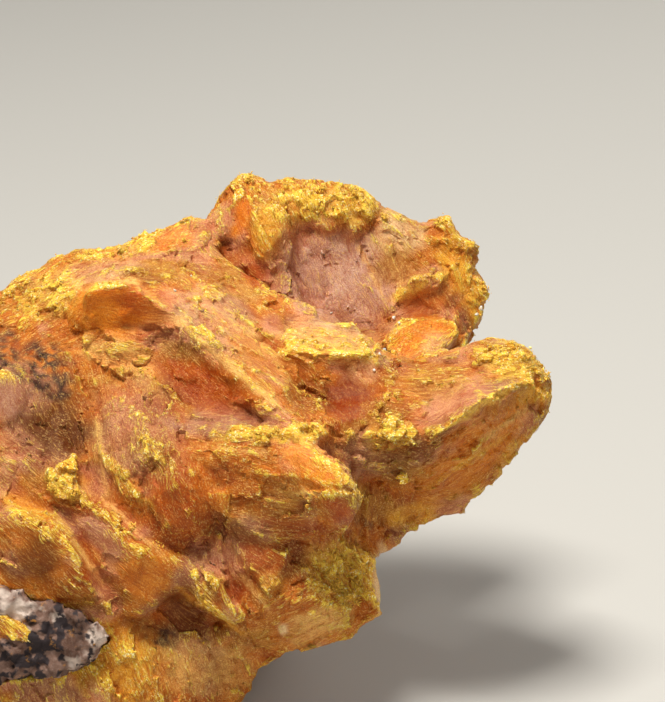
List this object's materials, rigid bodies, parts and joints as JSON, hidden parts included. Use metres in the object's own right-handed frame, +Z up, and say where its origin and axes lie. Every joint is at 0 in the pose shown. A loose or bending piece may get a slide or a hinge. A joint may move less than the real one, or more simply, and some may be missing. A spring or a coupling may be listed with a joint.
{
  "type": "orpiment specimen",
  "caption": "Broken lump of massive foliated orpiment with a projecting prong, an upright back plate and a patch of host rock at its foot.",
  "frame": {"origin": "centre of the lump's box in plan, at the floor it stands on", "axes": "+Z up, +X along the lump's length towards the prong, -Y towards the front that the picture shows"},
  "size_m": [0.0811, 0.0498, 0.0495],
  "materials": {
    "orpiment": "satin cleavage faces of amber orange with a lemon-yellow powdery crust on ridges",
    "host_rock": "matt grey and white rock with black mottles"
  },
  "bodies": {
    "root": {"orpiment": "orpiment", "host_rock": "host_rock"}
  },
  "joints": []
}
